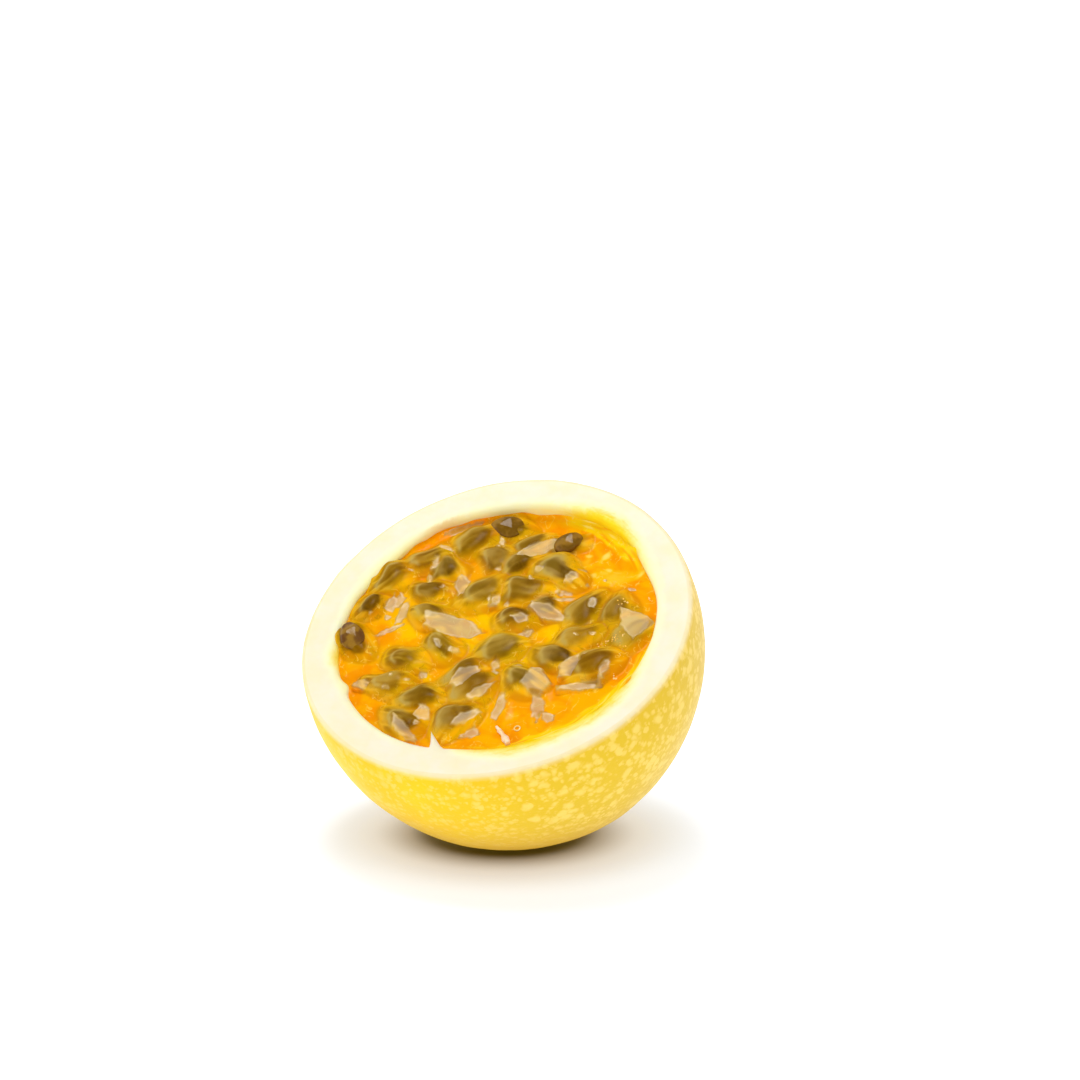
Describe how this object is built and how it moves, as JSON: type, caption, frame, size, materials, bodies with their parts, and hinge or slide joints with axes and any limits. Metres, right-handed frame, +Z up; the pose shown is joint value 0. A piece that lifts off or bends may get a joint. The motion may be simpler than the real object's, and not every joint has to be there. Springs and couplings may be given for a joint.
{
  "type": "passion fruit half",
  "caption": "Half of a yellow passion fruit cut across its middle, a thick white peel with yellow skin around juicy orange pulp with dark seeds, leaning back with its cut face up.",
  "frame": {"origin": "middle of the small flat spot that the half stands on", "axes": "+Z up, the cut face leans 31 degrees from level towards -Y, and +X is level along the cut face"},
  "size_m": [0.0707, 0.0684, 0.0595],
  "materials": {
    "peel": "satin golden yellow skin over matt white pith",
    "pulp": "wet orange pulp with olive brown seeds"
  },
  "bodies": {
    "root": {"peel": "peel", "pulp": "pulp"}
  },
  "joints": []
}
